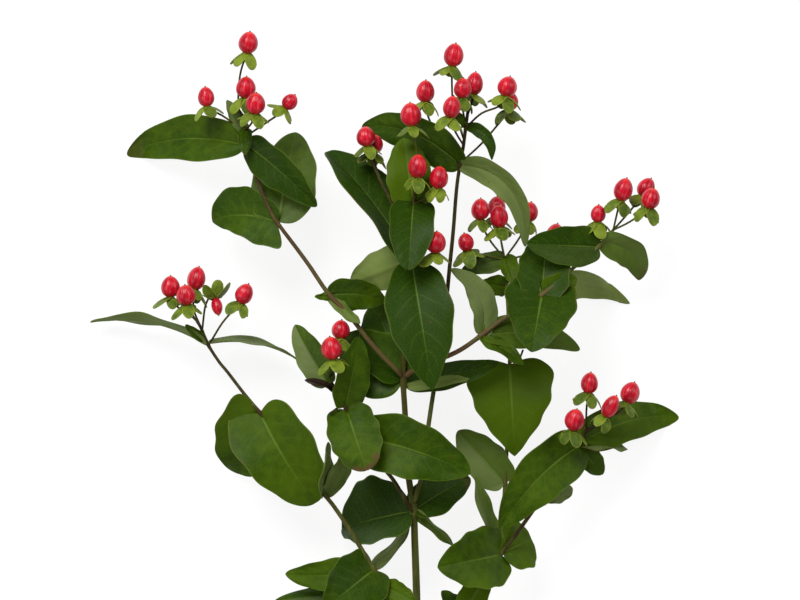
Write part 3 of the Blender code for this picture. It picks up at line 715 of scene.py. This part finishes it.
def sepal_ring(pattern, base, axis, chance, look):
    """The sepals below a berry, each bent back along an arc and turned a little differently."""
    turn = axis_frame(axis)
    base = base + axis * SEPAL_LIFT
    openness = chance.uniform(*CALYX_OPENNESS)
    ring = []
    for k in range(SEPALS):
        sepal = bpy.data.objects.new("sepal", pattern.data.copy())
        bpy.context.scene.collection.objects.link(sepal)
        around = Quaternion((0, 0, 1), 2 * math.pi * k / SEPALS + chance.uniform(*SEPAL_TURN))
        size = chance.uniform(*SEPAL_SIZE)
        fall = SEPAL_FALL + openness + chance.uniform(*SEPAL_DROOP)
        cup = chance.uniform(*SEPAL_CUP)
        twist = chance.uniform(*SEPAL_TWIST)
        rate = (fall - SEPAL_RISE) / (SEPAL_LENGTH * size)
        for vertex in sepal.data.vertices:
            along = vertex.co.x * size
            across = vertex.co.y * size
            angle = SEPAL_RISE + rate * along
            reach = SEPAL_FOOT + (math.sin(angle) - math.sin(SEPAL_RISE)) / rate
            drop = (math.cos(SEPAL_RISE) - math.cos(angle)) / rate
            drop += cup * across ** 2 + twist * across * along / SEPAL_LENGTH
            place = around @ Vector((reach, across, -drop))
            vertex.co = (base + turn @ place) * MM
            vertex.co.z = max(vertex.co.z, SEPAL_THICKNESS * MM)
        set_attribute(sepal.data, "tone", [chance.random()] * len(sepal.data.vertices))
        sepal.data.materials.append(look)
        thicken(sepal, SEPAL_THICKNESS)
        ring.append(sepal)
    return ring


def berry_body(berry, look):
    """An egg-shaped fruit with shallow furrows, from a sphere."""
    bpy.ops.mesh.primitive_uv_sphere_add(segments=BERRY_SEGMENTS, ring_count=BERRY_RINGS, radius=1)
    fruit = bpy.context.object
    base = Vector(berry.base)
    tip = Vector(berry.tip)
    turn = axis_frame(tip - base) @ Quaternion((0, 0, 1), berry.tip[0])
    height = (tip - base).length
    for vertex in fruit.data.vertices:
        share = (1 + vertex.co.z) / 2
        angle = math.atan2(vertex.co.y, vertex.co.x)
        spread = math.hypot(vertex.co.x, vertex.co.y)
        girth = BERRY_GIRTH - BERRY_TAPER * share - SHOULDER_TAPER * max(0, share - BERRY_SHOULDER)
        girth += BERRY_OVAL * math.sin(2 * angle)
        furrow = 1 - FURROW_DEPTH * max(0, math.cos(FURROWS * angle)) ** 3 * math.sin(math.pi * share)
        reach = spread * girth * furrow * berry.width / 2
        place = Vector((reach * math.cos(angle), reach * math.sin(angle), share * height))
        vertex.co = (base + turn @ place) * MM
    fruit.data.materials.append(look)
    select_only(fruit)
    bpy.ops.object.shade_smooth()
    return fruit


def style_remains(berry, look):
    """The dark points left by the styles at a berry's tip."""
    tip = Vector(berry.tip)
    axis = (tip - Vector(berry.base)).normalized()
    turn = axis_frame(axis)
    points = []
    for k in range(STYLES):
        lean = Quaternion((0, 0, 1), 2 * math.pi * k / STYLES) @ Vector((STYLE_LEAN, 0, 1)).normalized()
        middle = tip + turn @ (lean * STYLE_LENGTH * STYLE_SINK)
        bpy.ops.mesh.primitive_cone_add(vertices=STYLE_SIDES, radius1=STYLE_RADIUS * MM,
                                        radius2=STYLE_POINT_RADIUS * MM, depth=STYLE_LENGTH * MM,
                                        location=middle * MM,
                                        rotation=axis_frame(turn @ lean).to_euler())
        point = bpy.context.object
        bpy.ops.object.transform_apply(location=True, rotation=True, scale=True)
        point.data.materials.append(look)
        points.append(point)
    return points


class Look:
    """A material under construction: its node tree, with short ways to add and link nodes."""

    def __init__(self, name):
        self.material = bpy.data.materials.new(name)
        self.material.use_nodes = True
        self.tree = self.material.node_tree
        self.shader = self.tree.nodes["Principled BSDF"]

    def put(self, socket, value):
        """Links an output to an input, or sets the input to a plain value."""
        if isinstance(value, bpy.types.NodeSocket):
            self.tree.links.new(value, socket)
        else:
            socket.default_value = value

    def finish(self, **inputs):
        """Sets the shader's own sockets, named with underscores for spaces."""
        for name, value in inputs.items():
            self.put(self.shader.inputs[name.replace("_", " ")], value)

    def math(self, operation, *values):
        """One step of arithmetic."""
        node = self.tree.nodes.new("ShaderNodeMath")
        node.operation = operation
        for socket, value in zip(node.inputs, values):
            self.put(socket, value)
        return node.outputs[0]

    def times(self, first, second):
        """A product."""
        return self.math("MULTIPLY", first, second)

    def from_half(self, value):
        """How far a number's fraction is from a half."""
        return self.math("ABSOLUTE", self.math("SUBTRACT", self.math("FRACT", value), 0.5))

    def from_midline(self, across):
        """How far a place on a blade is from its midline: 0 on it and 1 at the margin."""
        return self.math("ABSOLUTE", self.math("MULTIPLY_ADD", across, 2.0, -1.0))

    def mix(self, share, first, second):
        """A blend of two colours."""
        node = self.tree.nodes.new("ShaderNodeMix")
        node.data_type = "RGBA"
        for index, value in ((MIX_SHARE, share), (MIX_FIRST, first), (MIX_SECOND, second)):
            self.put(node.inputs[index], (*value, 1) if isinstance(value, tuple) else value)
        return node.outputs[MIX_RESULT]

    def paint(self, below, mask, strength, colour):
        """A colour laid over the one below, where a mask lets it, at some strength."""
        return self.mix(self.times(mask, strength), below, colour)

    def spread(self, value, low, high, to_low=0.0, to_high=1.0):
        """A smooth step from one range to another."""
        node = self.tree.nodes.new("ShaderNodeMapRange")
        node.interpolation_type = "SMOOTHSTEP"
        for socket, number in zip(node.inputs, (value, low, high, to_low, to_high)):
            self.put(socket, number)
        return node.outputs[0]

    def place(self, kind="Object"):
        """Object coordinates, or the piece's own UV map."""
        return self.tree.nodes.new("ShaderNodeTexCoord").outputs[kind]

    def noise(self, scale, detail=3.0, place=None):
        """Soft noise, in features for each metre."""
        node = self.tree.nodes.new("ShaderNodeTexNoise")
        self.put(node.inputs["Vector"], place or self.place())
        node.inputs["Scale"].default_value = scale
        node.inputs["Detail"].default_value = detail
        return node.outputs[0]

    def cells(self, scale):
        """Distance from the borders of small irregular cells."""
        node = self.tree.nodes.new("ShaderNodeTexVoronoi")
        node.feature = "DISTANCE_TO_EDGE"
        self.put(node.inputs["Vector"], self.place())
        node.inputs["Scale"].default_value = scale
        return node.outputs[0]

    def attribute(self, name):
        """A number stored on the mesh."""
        node = self.tree.nodes.new("ShaderNodeAttribute")
        node.attribute_name = name
        return node.outputs["Fac"]

    def uv(self):
        """Across and along the blade."""
        node = self.tree.nodes.new("ShaderNodeSeparateXYZ")
        self.put(node.inputs[0], self.place("UV"))
        return node.outputs[0], node.outputs[1]

    def bump(self, height, strength, distance):
        """A fine relief from a height, in metres."""
        node = self.tree.nodes.new("ShaderNodeBump")
        node.inputs["Strength"].default_value = strength
        node.inputs["Distance"].default_value = distance
        self.put(node.inputs["Height"], height)
        return node.outputs[0]


def leaf_lines(look):
    """Masks of a leaf's midrib, side veins and margin."""
    across, along = look.uv()
    away = look.from_midline(across)
    taper = look.math("MULTIPLY_ADD", along, -MIDRIB_THINNING, 1.0)
    rib = look.math("DIVIDE", away, look.times(taper, MIDRIB_SHARE))
    midrib = look.times(look.spread(rib, 0.4, 1.0, 1.0, 0.0), look.spread(along, 0.1, 0.95, 1.0, 0.25))
    arc = look.times(look.math("POWER", away, VEIN_CURVE), -VEIN_RISE)
    wander = look.times(look.noise(VEIN_BENDS), VEIN_WAVER)
    rise = look.math("ADD", look.math("ADD", along, arc), wander)
    line = look.from_half(look.math("MULTIPLY_ADD", rise, VEIN_PAIRS, VEIN_SHIFT))
    veins = look.spread(line, 0.0, VEIN_HALF_WIDTH, 1.0, 0.0)
    veins = look.times(veins, look.spread(away, 0.4, 0.95, 1.0, 0.0))
    margin = look.spread(away, 0.95, 1.0)
    return midrib, veins, margin


def leaf_upper_look():
    """The dark satin upper face, with a thin midrib, faint veins and a thin worn margin."""
    look = Look("leaf_upper")
    midrib, veins, margin = leaf_lines(look)
    patch = look.noise(LEAF_PATCHES, 4.0)
    # The tone attribute shifts the green: by chance, and on some leaves as painted light and shade
    shade = look.math("MULTIPLY_ADD", patch, 0.9, look.times(look.attribute("tone"), 0.4))
    shade = look.math("MULTIPLY_ADD", look.noise(LEAF_MOTTLE), 0.45, look.math("ADD", shade, -0.22))
    green = look.mix(look.spread(shade, 0.3, 0.95), LEAF_DARK, LEAF_LIGHT)
    network = look.spread(look.cells(LEAF_NETWORK), 0.0, 0.13, 1.0, 0.0)
    green = look.paint(green, network, 0.12, LEAF_VEIN)
    green = look.paint(green, veins, 0.18, LEAF_VEIN)
    green = look.paint(green, midrib, 0.5, LEAF_MIDRIB)
    green = look.paint(green, look.attribute("pale"), 0.6, LEAF_PALE)
    green = look.paint(green, margin, 0.5, LEAF_EDGE)
    flecks = look.spread(look.noise(LEAF_FLECKS, 2.0), 0.68, 0.78)
    green = look.paint(green, flecks, 0.4, LEAF_BROWN)
    wear = look.times(look.spread(look.noise(LEAF_WEAR), 0.5, 0.68), margin)
    green = look.paint(green, wear, 0.7, LEAF_BROWN)
    ragged = look.math("MULTIPLY_ADD", look.noise(LEAF_SCORCH), 0.5, look.uv()[1])
    scar = look.times(look.spread(ragged, 1.06, 1.18), look.attribute("scar"))
    green = look.paint(green, scar, 0.8, LEAF_SCAR)
    green = look.mix(look.attribute("dry"), green, LEAF_DRY)
    pores = look.times(look.cells(LEAF_PORES), 0.6)
    height = look.math("ADD", pores, look.times(look.noise(LEAF_GRAIN), 0.6))
    look.finish(Base_Color=green, Specular_IOR_Level=0.065,
                Roughness=look.spread(patch, 0.3, 0.7, 0.38, 0.52),
                Normal=look.bump(height, 0.3, 0.0004))
    return look.material


def leaf_under_look():
    """The paler dull underside, with raised veins."""
    look = Look("leaf_underside")
    midrib, veins, margin = leaf_lines(look)
    # The tone attribute shifts the underside too: by chance, and on some leaves as painted light and shade
    shade = look.math("MULTIPLY_ADD", look.noise(UNDER_PATCHES), 0.7, look.times(look.attribute("tone"), 0.3))
    green = look.mix(look.spread(shade, 0.3, 0.95), UNDER_DARK, UNDER_LIGHT)
    green = look.paint(green, veins, 0.3, LEAF_MIDRIB)
    green = look.paint(green, midrib, 0.7, LEAF_MIDRIB)
    green = look.paint(green, margin, 0.2, LEAF_BROWN)
    height = look.math("ADD", look.times(veins, 0.5), look.times(look.cells(UNDER_PORES), 0.5))
    look.finish(Base_Color=green, Specular_IOR_Level=0.1, Roughness=0.62,
                Normal=look.bump(height, 0.4, 0.0004))
    return look.material


def sepal_look():
    """Bright yellow-green sepals, paler at the rim, with fine lengthwise veins and browned tips."""
    look = Look("sepal_green")
    across, along = look.uv()
    tone = look.math("MULTIPLY_ADD", look.attribute("tone"), 0.5, -0.18)
    shade = look.math("MULTIPLY_ADD", look.noise(SEPAL_MOTTLE), 1.0, tone)
    green = look.mix(look.spread(shade, 0.2, 0.95), SEPAL_DARK, SEPAL_LIGHT)
    line = look.from_half(look.times(across, SEPAL_VEINS))
    veins = look.spread(line, 0.0, 0.16, 1.0, 0.0)
    green = look.paint(green, veins, 0.3, SEPAL_VEIN)
    away = look.from_midline(across)
    rim = look.math("MAXIMUM", look.spread(away, 0.7, 1.0), look.spread(along, 0.88, 1.0))
    green = look.paint(green, rim, 0.4, SEPAL_RIM)
    tip = look.times(look.spread(along, 0.86, 1.0), look.spread(look.noise(SEPAL_BROWNING), 0.4, 0.6))
    green = look.paint(green, tip, 0.5, LEAF_BROWN)
    look.finish(Base_Color=green, Specular_IOR_Level=0.15, Roughness=0.5,
                Normal=look.bump(veins, 0.3, 0.0003))
    return look.material


def berry_bands(look, turn, along):
    """Noise in long bands from a berry's foot to its tip, without a seam at the back."""
    node = look.tree.nodes.new("ShaderNodeCombineXYZ")
    look.put(node.inputs[0], look.times(look.math("COSINE", turn), 2.0))
    look.put(node.inputs[1], look.times(look.math("SINE", turn), 2.0))
    look.put(node.inputs[2], look.times(along, 0.5))
    return look.noise(2.2, 2.0, node.outputs[0])


def berry_look():
    """Glossy red skin with fine lines, lighter streaks that are partly painted highlight, painted shade in
    the furrows, a paler foot and a painted highlight at the tip.
    """
    look = Look("berry_skin")
    across, along = look.uv()
    turn = look.times(across, 2 * math.pi)
    band = berry_bands(look, turn, along)
    blotch = look.noise(BERRY_BLOTCHES)
    line = look.from_half(look.math("MULTIPLY_ADD", blotch, 1.2, look.times(across, SKIN_LINES)))
    line = look.times(look.spread(line, 0.0, 0.25, 1.0, 0.0), look.spread(along, 0.15, 0.35))
    # A mask of the furrows, where painted shade darkens the skin
    furrow = look.spread(look.math("COSINE", look.times(turn, FURROWS)), 0.8, 1.0)
    depth = look.spread(look.math("MULTIPLY_ADD", blotch, 0.5, band), 0.5, 0.85)
    red = look.mix(depth, BERRY_DEEP, BERRY_RED)
    # Lighter lengthwise streaks: partly the skin's own colour, partly a painted highlight
    streak_and_highlight = look.times(look.spread(band, 0.52, 0.74), look.spread(blotch, 0.3, 0.6))
    red = look.paint(red, streak_and_highlight, 0.45, BERRY_STREAK_AND_HIGHLIGHT)
    red = look.paint(red, line, 0.4, BERRY_DEEP)
    # Painted shade: the furrows of the skin are painted deep red
    red = look.paint(red, furrow, 0.8, BERRY_DEEP)
    red = look.mix(look.spread(along, 0.02, 0.22, 0.75, 0.0), red, BERRY_FOOT)
    # Painted highlight: the tip is painted lighter and warmer
    red = look.mix(look.spread(along, 0.72, 0.97, 0.0, 0.6), red, BERRY_TIP_HIGHLIGHT)
    look.finish(Base_Color=red, Roughness=0.28, Specular_IOR_Level=0.3,
                Normal=look.bump(band, 0.35, 0.0008))
    return look.material


def style_look():
    """Dry dark brown remains at the berry's tip."""
    look = Look("style_brown")
    brown = look.mix(look.noise(STYLE_MOTTLE), STYLE_DARK, STYLE_LIGHT)
    look.finish(Base_Color=brown, Roughness=0.75, Normal=look.bump(look.noise(STYLE_GRAIN), 0.4, 0.0002))
    return look.material


def bark_look():
    """Smooth young wood, from green to purple-brown by the tint on the mesh, with fine long ribs."""
    look = Look("stem_bark")
    stretch = look.tree.nodes.new("ShaderNodeVectorMath")
    stretch.operation = "MULTIPLY"
    look.put(stretch.inputs[0], look.place())
    stretch.inputs[1].default_value = GRAIN_STRETCH
    mottle = look.math("MULTIPLY_ADD", look.noise(BARK_MOTTLE, 3.0, stretch.outputs[0]), 1.1, -0.55)
    age = look.math("ADD", look.attribute("tint"), mottle)
    colour = look.mix(look.spread(age, 0.1, 0.75), BARK_GREEN, BARK_BROWN)
    blush = look.times(look.attribute("blush"), look.spread(mottle, -0.2, 0.2, 0.4, 1.0))
    colour = look.mix(blush, colour, BARK_PINK)
    colour = look.mix(look.spread(age, 0.7, 1.15), colour, BARK_BLACK)
    colour = look.mix(look.spread(look.noise(BARK_SPECKS), 0.6, 0.75, 0.0, 0.5), colour, BARK_PALE)
    look.finish(Base_Color=colour, Specular_IOR_Level=0.08,
                Roughness=look.spread(mottle, -0.2, 0.2, 0.4, 0.55),
                Normal=look.bump(look.noise(BARK_GRAIN), 0.3, 0.0004))
    return look.material


def floor_look():
    """A plain pale surface with a faint tone, which glows a little so that it stays near white."""
    look = Look("pale_floor")
    tone = look.mix(look.noise(FLOOR_PATCHES), FLOOR_SHADE, FLOOR_WHITE)
    look.finish(Base_Color=tone, Roughness=0.9, Specular_IOR_Level=0.1,
                Emission_Color=(1, 1, 1, 1), Emission_Strength=FLOOR_GLOW)
    return look.material


def leaf_colour(name, k):
    """What is known of the colour of one leaf of a stem."""
    # A listed tone is painted light and shade; without one, chance sets the tone
    tone = LEAF_PAINTED_LIGHT_AND_SHADE.get(name, {}).get(k)
    pale = PALE_LEAVES.get(name, {}).get(k, (0, 0))
    dry = float(k in DRY_LEAVES.get(name, ()))
    scar = SCARS.get(name, {}).get(k, 0.0)
    return Colour(tone, pale, dry, scar)


def dress_stem(name, stem, pattern, looks, chance):
    """The pieces that stand for one leafy stem: its wood, its leaves and its sepals."""
    tints = STEM_TINTS[name]
    stalk_tints = (tints[1], tints[1] - STALK_GREENER)
    stalk_radii = (STALK_RADIUS, STALK_RADIUS)
    knots = [leaf.root for leaf in stem.leaves]
    wood = [wood_tube(name, stem.path, stem.radii, knots, tints)]
    for twig in stem.twigs:
        wood.append(wood_tube("twig", twig, stalk_radii, [], tints))
    sepals = []
    for berry in stem.berries:
        axis = (Vector(berry.tip) - Vector(berry.base)).normalized()
        seat = Vector(berry.base) - axis * SEAT_GAP
        wood.append(wood_tube("stalk", [*berry.via, seat], stalk_radii, [seat], stalk_tints))
        sepals += sepal_ring(pattern, seat, axis, chance, looks["sepal"])
    pieces = [join(name + "_wood", wood)]
    pieces[0].data.materials.clear()
    pieces[0].data.materials.append(looks["bark"])
    if stem.leaves:
        faces = (looks["upper"], looks["under"])
        blades = []
        for k, leaf in enumerate(stem.leaves):
            blades.append(leaf_blade(leaf, leaf_colour(name, k), chance, faces))
        pieces.append(join(name + "_leaves", blades))
    pieces.append(join(name + "_sepals", sepals))
    for piece in pieces:
        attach(piece, BODY)
        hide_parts(name)


def dress_berry(name, berry, looks):
    """One berry with the remains of its styles."""
    parts = [berry_body(berry, looks["berry"]), *style_remains(berry, looks["style"])]
    fruit = join(name + "_fruit", parts)
    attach(fruit, BODY)
    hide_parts(name)


def area_light(name, place, size, power):
    """A soft square light that faces the middle of the spray."""
    light = bpy.data.lights.new(name, "AREA")
    light.size = size
    light.energy = power
    holder = bpy.data.objects.new(name, light)
    bpy.context.scene.collection.objects.link(holder)
    holder.location = place
    holder.rotation_euler = (Vector(VIEW_CENTRE) - Vector(place)).to_track_quat("-Z", "Y").to_euler()


def set_stage():
    """The pale floor, the soft lights, the plain surroundings and the camera straight above."""
    deselect_all()
    bpy.ops.mesh.primitive_plane_add(size=FLOOR_SIZE, location=(0, 0, 0))
    floor = bpy.context.object
    floor.name = "floor"
    floor.data.materials.append(floor_look())
    for name, light in LIGHTS.items():
        area_light(name, *light)
    world = bpy.data.worlds.new("surroundings")
    world.use_nodes = True
    world.node_tree.nodes["Background"].inputs["Color"].default_value = WORLD_COLOUR
    world.node_tree.nodes["Background"].inputs["Strength"].default_value = WORLD_STRENGTH
    bpy.context.scene.world = world
    bpy.context.scene.view_settings.view_transform = "Standard"
    lens = bpy.data.cameras.new("camera")
    lens.lens = lens.sensor_width * CAMERA_HEIGHT / VIEW_WIDTH
    camera = bpy.data.objects.new("camera", lens)
    bpy.context.scene.collection.objects.link(camera)
    camera.location = (VIEW_CENTRE[0], VIEW_CENTRE[1], VIEW_CENTRE[2] + CAMERA_HEIGHT)
    bpy.context.scene.camera = camera


def build():
    """Dresses every stem and berry, and sets the stage."""
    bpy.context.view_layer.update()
    looks = {
        "upper": leaf_upper_look(),
        "under": leaf_under_look(),
        "sepal": sepal_look(),
        "berry": berry_look(),
        "style": style_look(),
        "bark": bark_look(),
    }
    chance = random.Random(SEED)
    pattern = sepal_pattern()
    for name, stem in STEMS.items():
        dress_stem(name, stem, pattern, looks, chance)
        for number, berry in enumerate(stem.berries, 1):
            dress_berry(f"{name}_berry_{number}", berry, looks)
    bpy.data.objects.remove(pattern)
    set_stage()
    bpy.context.view_layer.update()


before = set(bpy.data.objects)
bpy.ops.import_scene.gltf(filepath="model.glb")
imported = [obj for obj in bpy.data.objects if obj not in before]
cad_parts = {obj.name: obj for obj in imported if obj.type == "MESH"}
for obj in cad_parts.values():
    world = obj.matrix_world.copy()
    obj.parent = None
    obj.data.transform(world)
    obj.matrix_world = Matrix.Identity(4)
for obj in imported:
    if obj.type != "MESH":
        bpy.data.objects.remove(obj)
build()
